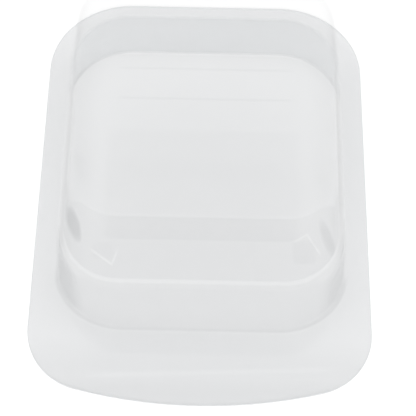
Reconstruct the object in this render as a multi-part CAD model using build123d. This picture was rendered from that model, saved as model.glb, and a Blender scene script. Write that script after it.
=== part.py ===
from build123d import *
import math
import os

# A clear one-piece soap mould, vacuum-formed from a single thin sheet.
# It stands on its flat rim with the cavity upside down, so the block that shapes the
# soap rises from the rim like a low box with rounded corners and drafted walls.
# Millimetres. X runs across the mould, Y along it, Z up from the face the rim rests on.
# The origin is the middle of the rim's underside.

# The formed sheet
SHEET = 0.8

# The flat rim: straight sides and back end, and a front end that bows outwards
RIM_WIDTH = 133.0
RIM_LENGTH = 188.0
FRONT_BOW_RADIUS = 190.0
FRONT_CORNER_RADIUS = 26.0
BACK_CORNER_RADIUS = 34.5

# The soap block, measured outside the sheet where the walls meet the rim
BLOCK_WIDTH = 115.0
BLOCK_LENGTH = 132.0
BLOCK_CORNER_RADIUS = 27.0
BLOCK_HEIGHT = 32.5
BLOCK_SHIFT_Y = 3.0
WALL_DRAFT = 5.5

# The sheet's outside radii where it turns
TOP_EDGE_RADIUS = 3.4
FOOT_RADIUS = 1.5


def rim_outline():
    """The rim's outline: straight sides and back, a bowed front, and rounded corners."""
    side = RIM_WIDTH / 2
    back = RIM_LENGTH / 2
    bow = FRONT_BOW_RADIUS - math.sqrt(FRONT_BOW_RADIUS**2 - side**2)
    front_corner = bow - back
    with BuildSketch() as outline:
        with BuildLine():
            Line((side, front_corner), (side, back))
            Line((side, back), (-side, back))
            Line((-side, back), (-side, front_corner))
            ThreePointArc((-side, front_corner), (0, -back), (side, front_corner))
        make_face()
        corners = outline.vertices().sort_by(Axis.Y)
        fillet(corners[:2], FRONT_CORNER_RADIUS)
        fillet(outline.vertices().sort_by(Axis.Y)[-2:], BACK_CORNER_RADIUS)
    return outline.sketch


def drafted_block(inset, height, top_radius):
    """A rounded box whose walls lean in as they rise, set in from the block's outside."""
    side_inset = inset / math.cos(math.radians(WALL_DRAFT))
    width = BLOCK_WIDTH - 2 * side_inset
    length = BLOCK_LENGTH - 2 * side_inset
    radius = BLOCK_CORNER_RADIUS - side_inset
    with BuildPart() as block:
        with BuildSketch(Location((0, BLOCK_SHIFT_Y, 0))):
            RectangleRounded(width, length, radius)
        extrude(amount=height, taper=WALL_DRAFT)
        fillet(block.faces().sort_by(Axis.Z)[-1].edges(), top_radius)
    return block.part


def edges_at_height(part, height):
    """The edges of the block's foot that lie at one height, without the rim's own edge."""
    reach_x = BLOCK_WIDTH / 2 + SHEET
    reach_y = BLOCK_LENGTH / 2 + SHEET
    found = []
    for edge in part.edges():
        box = edge.bounding_box()
        level = abs(box.min.Z - height) < 1e-3 and abs(box.max.Z - height) < 1e-3
        inside_x = max(abs(box.min.X), abs(box.max.X)) < reach_x
        inside_y = max(abs(box.min.Y - BLOCK_SHIFT_Y), abs(box.max.Y - BLOCK_SHIFT_Y)) < reach_y
        if level and inside_x and inside_y:
            found.append(edge)
    return found


def mould_tray():
    """The whole mould: the rim and the hollow block as one sheet of even thickness."""
    solid = extrude(rim_outline(), amount=SHEET) + drafted_block(0, BLOCK_HEIGHT, TOP_EDGE_RADIUS)
    solid = fillet(edges_at_height(solid, SHEET), FOOT_RADIUS)
    hollow = drafted_block(SHEET, BLOCK_HEIGHT - SHEET, TOP_EDGE_RADIUS - SHEET)
    shell = solid - hollow
    return fillet(edges_at_height(shell, 0), FOOT_RADIUS + SHEET)


if __name__ == "__main__":
    os.makedirs("parts", exist_ok=True)
    tray = mould_tray()
    export_step(tray, "parts/mould_tray.step")
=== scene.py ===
import bmesh
import bpy
import math
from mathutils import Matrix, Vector


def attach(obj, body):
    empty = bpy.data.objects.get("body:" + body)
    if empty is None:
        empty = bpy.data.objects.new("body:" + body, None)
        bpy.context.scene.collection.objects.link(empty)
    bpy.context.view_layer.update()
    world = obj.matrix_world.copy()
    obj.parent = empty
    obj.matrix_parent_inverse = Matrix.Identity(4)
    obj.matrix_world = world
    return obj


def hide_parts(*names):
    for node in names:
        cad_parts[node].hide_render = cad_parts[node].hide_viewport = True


# A clear one-piece soap mould standing on its rim, cavity down, on a pale studio floor.
# Metres. X runs across the mould, Y along it, Z up from the face the rim rests on.

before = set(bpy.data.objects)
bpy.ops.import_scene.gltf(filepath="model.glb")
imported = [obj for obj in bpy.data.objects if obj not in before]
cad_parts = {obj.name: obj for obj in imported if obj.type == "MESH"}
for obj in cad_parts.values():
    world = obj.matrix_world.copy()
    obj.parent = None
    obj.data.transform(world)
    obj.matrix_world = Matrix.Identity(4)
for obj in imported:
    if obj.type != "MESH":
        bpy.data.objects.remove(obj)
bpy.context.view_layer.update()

MM = 0.001

# The sheet's dimensions in millimetres
SHEET = 0.8
RIM_WIDTH = 133.0
RIM_LENGTH = 188.0
FRONT_BOW_RADIUS = 190.0
FRONT_CORNER_RADIUS = 26.0
BACK_CORNER_RADIUS = 34.5
BLOCK_WIDTH = 115.0
BLOCK_LENGTH = 132.0
BLOCK_CORNER_RADIUS = 27.0
BLOCK_HEIGHT = 32.5
BLOCK_SHIFT_Y = 3.0
WALL_DRAFT = math.radians(5.5)
TOP_EDGE_RADIUS = 3.4
FOOT_RADIUS = 1.5
CUT_EDGE_ROUND = 0.15

# How finely the mesh is divided: steps round a corner, along a side, round a fillet and up the wall
CORNER_STEPS = 28
SIDE_STEPS = 14
FILLET_STEPS = 8
WALL_STEPS = 8

# Where the rings lie: across the rim, in from the top's edge, and in from the last of those
RIM_RINGS = (0, 0.06, 0.2, 0.4, 0.6, 0.8, 0.94)
TOP_RINGS = (1.5, 4.0, 8.0, 13.0, 18.0)
MIDDLE_RINGS = (0.3, 0.6, 0.85)


# ---------------------------------------------------------------- outlines

def arc(centre, radius, start, end, steps):
    """Points along an arc, without its last one."""
    found = []
    for i in range(steps):
        angle = start + (end - start) * i / steps
        found.append((centre[0] + radius * math.cos(angle), centre[1] + radius * math.sin(angle)))
    return found


def straight(start, end, steps):
    """Points along a straight run, without its last one."""
    found = []
    for i in range(steps):
        t = i / steps
        found.append((start[0] + (end[0] - start[0]) * t, start[1] + (end[1] - start[1]) * t))
    return found


def rim_outline(inset):
    """The rim's outline, moved in by inset: straight sides and back, a bowed front."""
    side = RIM_WIDTH / 2 - inset
    back = RIM_LENGTH / 2 - inset
    r_back = BACK_CORNER_RADIUS - inset
    r_front = FRONT_CORNER_RADIUS - inset
    r_bow = FRONT_BOW_RADIUS - inset
    bow_y = FRONT_BOW_RADIUS - RIM_LENGTH / 2
    front_x = side - r_front
    front_y = bow_y - math.sqrt((r_bow - r_front) ** 2 - front_x**2)
    turn = math.atan2(front_y - bow_y, front_x)
    points = []
    points += straight((side, front_y), (side, back - r_back), SIDE_STEPS)
    points += arc((side - r_back, back - r_back), r_back, 0, math.pi / 2, CORNER_STEPS)
    points += straight((side - r_back, back), (r_back - side, back), SIDE_STEPS)
    points += arc((r_back - side, back - r_back), r_back, math.pi / 2, math.pi, CORNER_STEPS)
    points += straight((-side, back - r_back), (-side, front_y), SIDE_STEPS)
    points += arc((-front_x, front_y), r_front, math.pi, -math.pi - turn + 2 * math.pi, CORNER_STEPS)
    points += arc((0, bow_y), r_bow, math.pi - turn, 2 * math.pi + turn, SIDE_STEPS)
    points += arc((front_x, front_y), r_front, turn, 0, CORNER_STEPS)
    return points


def block_outline(inset):
    """The block's outline at its foot, moved in by inset."""
    side = BLOCK_WIDTH / 2 - inset
    end = BLOCK_LENGTH / 2 - inset
    r = BLOCK_CORNER_RADIUS - inset
    points = []
    points += straight((side, r - end), (side, end - r), SIDE_STEPS)
    points += arc((side - r, end - r), r, 0, math.pi / 2, CORNER_STEPS)
    points += straight((side - r, end), (r - side, end), SIDE_STEPS)
    points += arc((r - side, end - r), r, math.pi / 2, math.pi, CORNER_STEPS)
    points += straight((-side, end - r), (-side, r - end), SIDE_STEPS)
    points += arc((r - side, r - end), r, math.pi, 1.5 * math.pi, CORNER_STEPS)
    points += straight((r - side, -end), (side - r, -end), SIDE_STEPS)
    points += arc((side - r, r - end), r, 1.5 * math.pi, 2 * math.pi, CORNER_STEPS)
    return [(x, y + BLOCK_SHIFT_Y) for x, y in points]


# ---------------------------------------------------------------- the sheet's section

def wall_profile(offset):
    """(inset from the block's outline, height) up one face of the sheet, from the rim to the top.

    offset is how far that face lies inside the sheet's outer face.
    """
    top = BLOCK_HEIGHT - offset
    foot = SHEET - offset
    lean = math.tan(WALL_DRAFT)
    base = offset / math.cos(WALL_DRAFT)
    sweep = math.pi / 2 - WALL_DRAFT
    r_foot = FOOT_RADIUS + offset
    r_top = TOP_EDGE_RADIUS - offset
    profile = []
    # The foot's fillet turns from flat to the wall's lean
    reach = r_foot * math.tan(sweep / 2)
    centre_inset = base + foot * lean - reach
    centre_z = foot + r_foot
    for i in range(FILLET_STEPS + 1):
        angle = sweep * i / FILLET_STEPS
        profile.append((centre_inset + r_foot * math.sin(angle), centre_z - r_foot * math.cos(angle)))
    # The top edge's fillet turns from the wall's lean to flat
    reach = r_top * math.tan(sweep / 2)
    centre_inset = base + top * lean + reach
    centre_z = top - r_top
    for i in range(FILLET_STEPS + 1):
        angle = WALL_DRAFT + sweep * i / FILLET_STEPS
        profile.append((centre_inset - r_top * math.cos(angle), centre_z + r_top * math.sin(angle)))
    return profile


def blend(a, b, t):
    """Points part of the way from outline a to outline b."""
    return [(p[0] + (q[0] - p[0]) * t, p[1] + (q[1] - p[1]) * t) for p, q in zip(a, b)]


def skin_rings(offset):
    """The rings of one face of the sheet, from the rim's edge to the middle of the top."""
    profile = wall_profile(offset)
    rim_z = SHEET - offset
    rings = []
    rim = rim_outline(CUT_EDGE_ROUND)
    foot = block_outline(profile[0][0])
    for t in RIM_RINGS:
        rings.append([(x, y, rim_z) for x, y in blend(rim, foot, t)])
    wall = []
    for k, (inset, z) in enumerate(profile):
        wall.append((inset, z))
        if k == FILLET_STEPS:
            after = profile[k + 1]
            for i in range(1, WALL_STEPS):
                t = i / WALL_STEPS
                wall.append((inset + (after[0] - inset) * t, z + (after[1] - z) * t))
    for inset, z in wall:
        rings.append([(x, y, z) for x, y in block_outline(inset)])
    inset, z = profile[-1]
    for step in TOP_RINGS:
        rings.append([(x, y, z) for x, y in block_outline(min(inset + step, BLOCK_CORNER_RADIUS - 0.5))])
    last = rings[-1]
    for t in MIDDLE_RINGS:
        rings.append([(x * (1 - t), BLOCK_SHIFT_Y + (y - BLOCK_SHIFT_Y) * (1 - t), z) for x, y, _ in last])
    return rings


def loft(bm, rings, material):
    """Quads between neighbouring rings; returns the rings' vertices."""
    rows = [[bm.verts.new((x * MM, y * MM, z * MM)) for x, y, z in ring] for ring in rings]
    join(bm, rows, material)
    return rows


def join(bm, rows, material):
    """Quads between neighbouring rows of vertices."""
    for lower, upper in zip(rows, rows[1:]):
        for i in range(len(lower)):
            j = (i + 1) % len(lower)
            face = bm.faces.new((lower[i], lower[j], upper[j], upper[i]))
            face.smooth = True
            face.material_index = material


def build_sheet():
    """The closed skin of the formed sheet: outer face, inner face and the trimmed edge between."""
    bm = bmesh.new()
    outer = loft(bm, skin_rings(0.0), 0)
    inner = loft(bm, skin_rings(SHEET), 0)
    for rows in (outer, inner):
        cap = bm.faces.new(rows[-1])
        cap.smooth = True
    side = rim_outline(0.0)
    lower = [bm.verts.new((x * MM, y * MM, CUT_EDGE_ROUND * MM)) for x, y in side]
    upper = [bm.verts.new((x * MM, y * MM, (SHEET - CUT_EDGE_ROUND) * MM)) for x, y in side]
    join(bm, [inner[0], lower, upper, outer[0]], 1)
    bmesh.ops.recalc_face_normals(bm, faces=bm.faces)
    mesh = bpy.data.meshes.new("mould_sheet")
    bm.to_mesh(mesh)
    bm.free()
    sheet = bpy.data.objects.new("mould_sheet", mesh)
    bpy.context.scene.collection.objects.link(sheet)
    return sheet


# ---------------------------------------------------------------- shader maths

class Field:
    """A shader value. Arithmetic on it adds Math nodes."""

    def __init__(self, tree, socket):
        self.tree = tree
        self.socket = socket

    def _math(self, operation, first, second=None):
        node = self.tree.nodes.new("ShaderNodeMath")
        node.operation = operation
        for slot, value in zip(node.inputs, (first, second)):
            if isinstance(value, Field):
                self.tree.links.new(value.socket, slot)
            elif value is not None:
                slot.default_value = value
        return Field(self.tree, node.outputs[0])

    def __add__(self, other):
        return self._math("ADD", self, other)

    def __radd__(self, other):
        return self._math("ADD", other, self)

    def __sub__(self, other):
        return self._math("SUBTRACT", self, other)

    def __rsub__(self, other):
        return self._math("SUBTRACT", other, self)

    def __mul__(self, other):
        return self._math("MULTIPLY", self, other)

    def __rmul__(self, other):
        return self._math("MULTIPLY", other, self)

    def __truediv__(self, other):
        return self._math("DIVIDE", self, other)

    def __pow__(self, other):
        return self._math("POWER", self, other)

    def __abs__(self):
        return self._math("ABSOLUTE", self)

    def clamp(self):
        return self._math("MINIMUM", self._math("MAXIMUM", self, 0.0), 1.0)


class Shader:
    """A material's node tree, with one method that adds any node."""

    def __init__(self, name):
        self.material = bpy.data.materials.new(name)
        self.material.use_nodes = True
        self.tree = self.material.node_tree
        self.tree.nodes.clear()

    def node(self, kind, settings=None, sockets=None):
        """Adds a node, sets its properties, and then sets or links its inputs by name or number."""
        node = self.tree.nodes.new(kind)
        for key, value in (settings or {}).items():
            setattr(node, key, value)
        for key, value in (sockets or {}).items():
            if isinstance(value, Field):
                self.tree.links.new(value.socket, node.inputs[key])
            elif isinstance(value, bpy.types.NodeSocket):
                self.tree.links.new(value, node.inputs[key])
            else:
                node.inputs[key].default_value = value
        return node

    def field(self, node, output):
        return Field(self.tree, node.outputs[output])

    def mix(self, factor, first, second):
        """The first shader where factor is 0, and the second where it is 1."""
        sockets = {0: factor, 1: first.outputs[0], 2: second.outputs[0]}
        return self.node("ShaderNodeMixShader", sockets=sockets)

    def finish(self, surface):
        self.node("ShaderNodeOutputMaterial", sockets={"Surface": surface.outputs[0]})
        return self.material


def band(value, centre, half_width, soft):
    """1 where value lies within half_width of centre, falling to 0 over soft."""
    away = abs(value - centre)
    return ((half_width - away) * (1 / soft) + 0.5).clamp()


def oval(x, y, half_x, half_y):
    """How far out in an oval about the origin: 0 at its middle, 1 on its edge."""
    return (x / half_x) ** 2.0 + (y / half_y) ** 2.0


def line(x, y, start, end, half_width):
    """1 along the straight line from start to end, falling softly to 0 beside it."""
    dx = end[0] - start[0]
    dy = end[1] - start[1]
    length = math.hypot(dx, dy)
    rx = x - (start[0] + end[0]) / 2
    ry = y - (start[1] + end[1]) / 2
    along = rx * (dx / length) + ry * (dy / length)
    across = rx * (-dy / length) + ry * (dx / length)
    return band(across, 0.0, half_width, half_width) * band(along, 0.0, length / 2, 0.002)


# Lengths in these materials are in metres, in the object's own frame

FRONT_Y = -0.036
BACK_Y = 0.058
BASE_MIRROR = 0.024
EDGE_MIRROR = 0.6
THIN_TINT = (0.984, 0.986, 0.987, 1)
FULL_TINT = (0.928, 0.930, 0.932, 1)
DENSE_TINT = (0.70, 0.705, 0.71, 1)


def painted_top_shadows(x, y):
    """Faint tint across the flat top: an even tint all over, plus the painted shadow and bent light of the
    front edge, a painted shadow patch further in and two painted shadow lines towards the back.
    """
    spread = ((abs(x) - 0.033) * 75.0).clamp()
    shadow_edge_y = -0.0303 + 0.006 * spread * spread
    in_front_shadow = ((shadow_edge_y - y) * 1500.0).clamp()
    near_zone = in_front_shadow * band(x, 0.0, 0.0505, 0.001)
    strip = in_front_shadow * band(y, -0.034, 0.006, 0.0008) * band(x, 0.0, 0.036, 0.003)
    strip_edge = band(y, -0.0402, 0.0003, 0.0004) * band(x, 0.0, 0.034, 0.004)
    # A painted shadow patch and two painted shadow lines further back
    patch = band(x, 0.0, 0.037, 0.002) * band(y, -0.0107, 0.0190, 0.0015)
    back_lines = band(y, 0.038, 0.0004, 0.0006) + band(y, 0.0235, 0.0004, 0.0006)
    back_lines = back_lines * band(x, 0.0, 0.034, 0.004)
    # The front edge's painted shadow: a darker zone in front, a darker strip, and a line at the strip's
    # front edge
    steps = 0.08 * near_zone + 0.06 * strip + 0.05 * strip_edge
    return 0.04 + 0.035 * patch + 0.08 * back_lines + steps


def painted_corner_shadows(x, y):
    """A slanting sliver beside each front corner of the top: painted shadow, standing in for light the
    corner bends.
    """
    left = oval(x + 0.0483 + 0.30 * (y + 0.0345), y + 0.0345, 0.0025, 0.0078)
    right = oval(x - 0.0473 + 0.25 * (y + 0.0385), y + 0.0385, 0.0022, 0.0080)
    return (1.35 - 1.1 * left).clamp() + 0.55 * (1.35 - 1.1 * right).clamp()


def painted_corner_reflections(x, y):
    """A small darker patch inside each front corner of the top: a painted reflection."""
    right = band(x, 0.0385, 0.0042, 0.0012) * band(y, -0.0450, 0.0046, 0.0012)
    left = band(x, -0.0370, 0.0035, 0.0015) * band(y, -0.0455, 0.0032, 0.0015)
    return right + 0.7 * left


def painted_patch_highlights(x, y):
    """The small patches' thin light edges: painted highlights."""
    edges = line(x, y, (-0.0408, -0.0455), (-0.0331, -0.0513), 0.0004)
    edges = edges + 0.8 * line(x, y, (-0.0331, -0.0513), (-0.0313, -0.0460), 0.0003)
    edges = edges + 0.7 * line(x, y, (0.0348, -0.0405), (0.0398, -0.0372), 0.0003)
    edges = edges + 0.9 * line(x, y, (0.0398, -0.0372), (0.0442, -0.0450), 0.0003)
    return edges.clamp()


def back_margin(x, y):
    """1 between the flat top's rounded back edge and a line parallel to it further in."""
    corner_x = 0.5 * (abs(x) - 0.029 + abs(abs(x) - 0.029))
    corner_y = 0.5 * (y - 0.0194 + abs(y - 0.0194))
    return (((corner_x**2.0 + corner_y**2.0) ** 0.5 - 0.0254) * 700.0).clamp()


def clear_sheet():
    """Thin clear plastic: it lets light straight through, and mirrors more as it is seen edge on. Its tint
    also carries painted shadow, shade, highlights and reflections.
    """
    s = Shader("clear_sheet")
    place = s.node("ShaderNodeTexCoord")
    where = s.node("ShaderNodeSeparateXYZ", sockets={"Vector": place.outputs["Object"]})
    x = s.field(where, "X")
    y = s.field(where, "Y")
    z = s.field(where, "Z")
    turned = s.node("ShaderNodeSeparateXYZ", sockets={"Vector": place.outputs["Normal"]})
    # 1 on the flat rim and top, 0 on an upright wall, and bend peaks half way round a fillet
    level = (s.field(turned, "Z") ** 2.0).clamp()
    bend = (4.0 * level * (1.0 - level)).clamp()

    # Slow waves in the sheet's surface, as forming a warm sheet leaves
    noise = {"Vector": place.outputs["Object"], "Scale": 18.0, "Detail": 2.0}
    waves = s.field(s.node("ShaderNodeTexNoise", sockets=noise), 0)
    bump = s.node("ShaderNodeBump", sockets={"Strength": 0.05, "Distance": 0.002, "Height": waves})
    normal = bump.outputs[0]
    facing = s.field(s.node("ShaderNodeLayerWeight", sockets={"Blend": 0.5, "Normal": normal}), "Facing")
    mirror = BASE_MIRROR + EDGE_MIRROR * facing**5.0

    # Where on the mould this is
    front = ((FRONT_Y - y) * 150.0).clamp()
    back = ((y - BACK_Y) * 40.0).clamp()
    side = ((abs(x) - 0.045) * 200.0).clamp() * (1.0 - front)
    high = ((z - 0.026) * 1000.0).clamp()
    low = ((0.004 - z) * 1000.0).clamp()
    rim = ((0.002 - z) * 2000.0).clamp()
    flat_top = ((z - 0.030) * 2000.0).clamp() * ((level - 0.97) * 50.0).clamp()
    # Painted light: a lighter band inside the top's back edge, standing in for bent light
    painted_light_margin = high * back_margin(x, y)

    # How full the tint is: full on the level parts and the front wall, and lighter on the other walls, the
    # top's bend and back margin, the rim at the back, and a light line across the rim at the front. The
    # shape is one even thickness, so the lighter walls show the sheet drawn thin. The lighter bend is
    # partly that drawing and partly a painted highlight along the top's edge; the extra lightness at the
    # back of the bend and on the rim at the back is painted light against the mould's own shadow, and the
    # lighter back margin is a painted band of bent light
    light_line = band(y + 0.0805 - 0.045 * x, 0.0, 0.0009, 0.0012) * band(x, 0.005, 0.046, 0.012)
    lightened = 0.30 * back * (1.0 - high) + 0.18 * light_line
    lightened = lightened + (0.50 + 0.45 * side + 0.8 * back - 0.18 * front) * bend * high
    lightened = lightened + painted_light_margin * (0.90 - 25.0 * (y - 0.0525)).clamp()
    wall_front = (1.0 - level) * (0.5 * front + 0.5 * ((-0.028 - y) * 50.0).clamp())
    tint = (level * (1.0 - lightened) + wall_front).clamp()
    # Painted highlights lighten the tint along the small patches' edges
    tint = (tint * (1.0 - 0.8 * flat_top * painted_patch_highlights(x, y))).clamp()

    # Denser tint: painted shadow, shade and reflections on the top, with painted shade along its sides,
    # painted shade along the foot's bend and across the front rim, the front wall, and the front corners
    # where they turn edge on
    painted_shade_flanks = 0.08 * ((-0.041 - x) * 110.0).clamp() + 0.04 * ((x - 0.041) * 110.0).clamp()
    painted_top_marks = painted_top_shadows(x, y) + painted_shade_flanks * (1.0 - painted_light_margin)
    painted_top_marks = flat_top * (painted_top_marks + 0.32 * painted_corner_shadows(x, y) + 0.06 * painted_corner_reflections(x, y))
    # Painted shade: a darker line along the foot's bend, left off the sides
    foot = bend * low * (1.0 - side)
    # Painted shade: the rim grows denser towards the front, against the front lamp's direct light
    toward_front = 0.075 * ((-0.066 - y) * 80.0).clamp() + 0.05 * ((-0.0825 - y) * 200.0).clamp()
    rim_front_shade = level * rim * toward_front
    # The front corners turn denser as they are seen edge on; the extra weight on the left is painted shade
    edge_on = ((facing - 0.60) * 9.0).clamp() * front * (0.26 - 0.12 * (x * 60.0).clamp())
    extra = (0.07 * foot + painted_top_marks + edge_on + rim_front_shade + 0.07 * wall_front).clamp()

    thin = s.node("ShaderNodeBsdfTransparent", sockets={"Color": THIN_TINT})
    full = s.node("ShaderNodeBsdfTransparent", sockets={"Color": FULL_TINT})
    dense = s.node("ShaderNodeBsdfTransparent", sockets={"Color": DENSE_TINT})
    shine = {"Color": (1, 1, 1, 1), "Roughness": 0.06, "Normal": normal}
    gloss = s.node("ShaderNodeBsdfAnisotropic", sockets=shine)
    body = s.mix(extra, s.mix(tint, thin, full), dense)
    return s.finish(s.mix(mirror.clamp(), body, gloss))


def cut_edge():
    """The rim's trimmed edge: the sheet seen through its own width, so it is denser and a little rough."""
    s = Shader("cut_edge")
    clear = s.node("ShaderNodeBsdfTransparent", sockets={"Color": (0.92, 0.925, 0.93, 1)})
    trimmed = {"Base Color": (0.70, 0.72, 0.73, 1), "Roughness": 0.25}
    solid = s.node("ShaderNodeBsdfPrincipled", sockets=trimmed)
    return s.finish(s.mix(0.12, clear, solid))


def floor_material():
    """A pale, faintly glossy studio surface."""
    s = Shader("studio_floor")
    paint = {"Base Color": (0.9, 0.9, 0.9, 1), "Roughness": 0.45}
    return s.finish(s.node("ShaderNodeBsdfPrincipled", sockets=paint))


# ---------------------------------------------------------------- the object

sheet = build_sheet()
sheet.data.materials.append(clear_sheet())
sheet.data.materials.append(cut_edge())
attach(sheet, "root")
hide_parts("mould_tray")


# ---------------------------------------------------------------- the studio

def studio_floor():
    """A wide floor a hair below the rim, so the two faces don't lie in one plane."""
    mesh = bpy.data.meshes.new("studio_floor")
    half = 3.0
    corners = [(-half, -half, 0), (half, -half, 0), (half, half, 0), (-half, half, 0)]
    mesh.from_pydata(corners, [], [(0, 1, 2, 3)])
    floor = bpy.data.objects.new("studio_floor", mesh)
    floor.location.z = -0.0002
    mesh.materials.append(floor_material())
    bpy.context.scene.collection.objects.link(floor)


def lamp(name, azimuth, elevation, distance, size, power):
    """A square softbox aimed at the object. Azimuth 0 is the front, 90 the right-hand side."""
    data = bpy.data.lights.new(name, "AREA")
    data.size = size
    data.energy = power
    lamp_object = bpy.data.objects.new(name, data)
    a = math.radians(azimuth)
    e = math.radians(elevation)
    aim = Vector((0, BLOCK_SHIFT_Y * MM, 0))
    direction = Vector((math.cos(e) * math.sin(a), -math.cos(e) * math.cos(a), math.sin(e)))
    lamp_object.location = aim + direction * distance
    lamp_object.rotation_euler = (-direction).to_track_quat("-Z", "Y").to_euler()
    bpy.context.scene.collection.objects.link(lamp_object)
    return lamp_object


def sky(strength):
    """Even white light from all round."""
    world = bpy.data.worlds.new("studio")
    world.use_nodes = True
    background = world.node_tree.nodes["Background"]
    background.inputs["Color"].default_value = (1, 1, 1, 1)
    background.inputs["Strength"].default_value = strength
    bpy.context.scene.world = world


def camera():
    """A long lens in front of the mould, looking 60 degrees down at it."""
    data = bpy.data.cameras.new("camera")
    data.lens = 122.1
    data.sensor_width = 36
    data.clip_start = 0.01
    data.clip_end = 20
    cam = bpy.data.objects.new("camera", data)
    pitch = math.radians(60)
    roll = math.radians(1.12)
    distance = 573.1 * MM
    target = Vector((2.3, -7.9, 0)) * MM
    forward = Vector((0, math.cos(pitch), -math.sin(pitch)))
    cam.location = target - forward * distance
    cam.rotation_euler = forward.to_track_quat("-Z", "Y").to_euler()
    cam.rotation_euler.rotate_axis("Z", roll)
    bpy.context.scene.collection.objects.link(cam)
    bpy.context.scene.camera = cam


studio_floor()
sky(0.45)
key = lamp("key", 0, 36, 1.6, 0.05, 15)
# The small lamp only shapes the shadows: its mirror image would be a hard spark
key.visible_glossy = False
lamp("overhead", 0, 90, 1.5, 3.0, 22)
camera()
bpy.context.scene.view_settings.view_transform = "Standard"
# A line of sight through the mould can cross the sheet many times
bpy.context.scene.cycles.transparent_max_bounces = 32
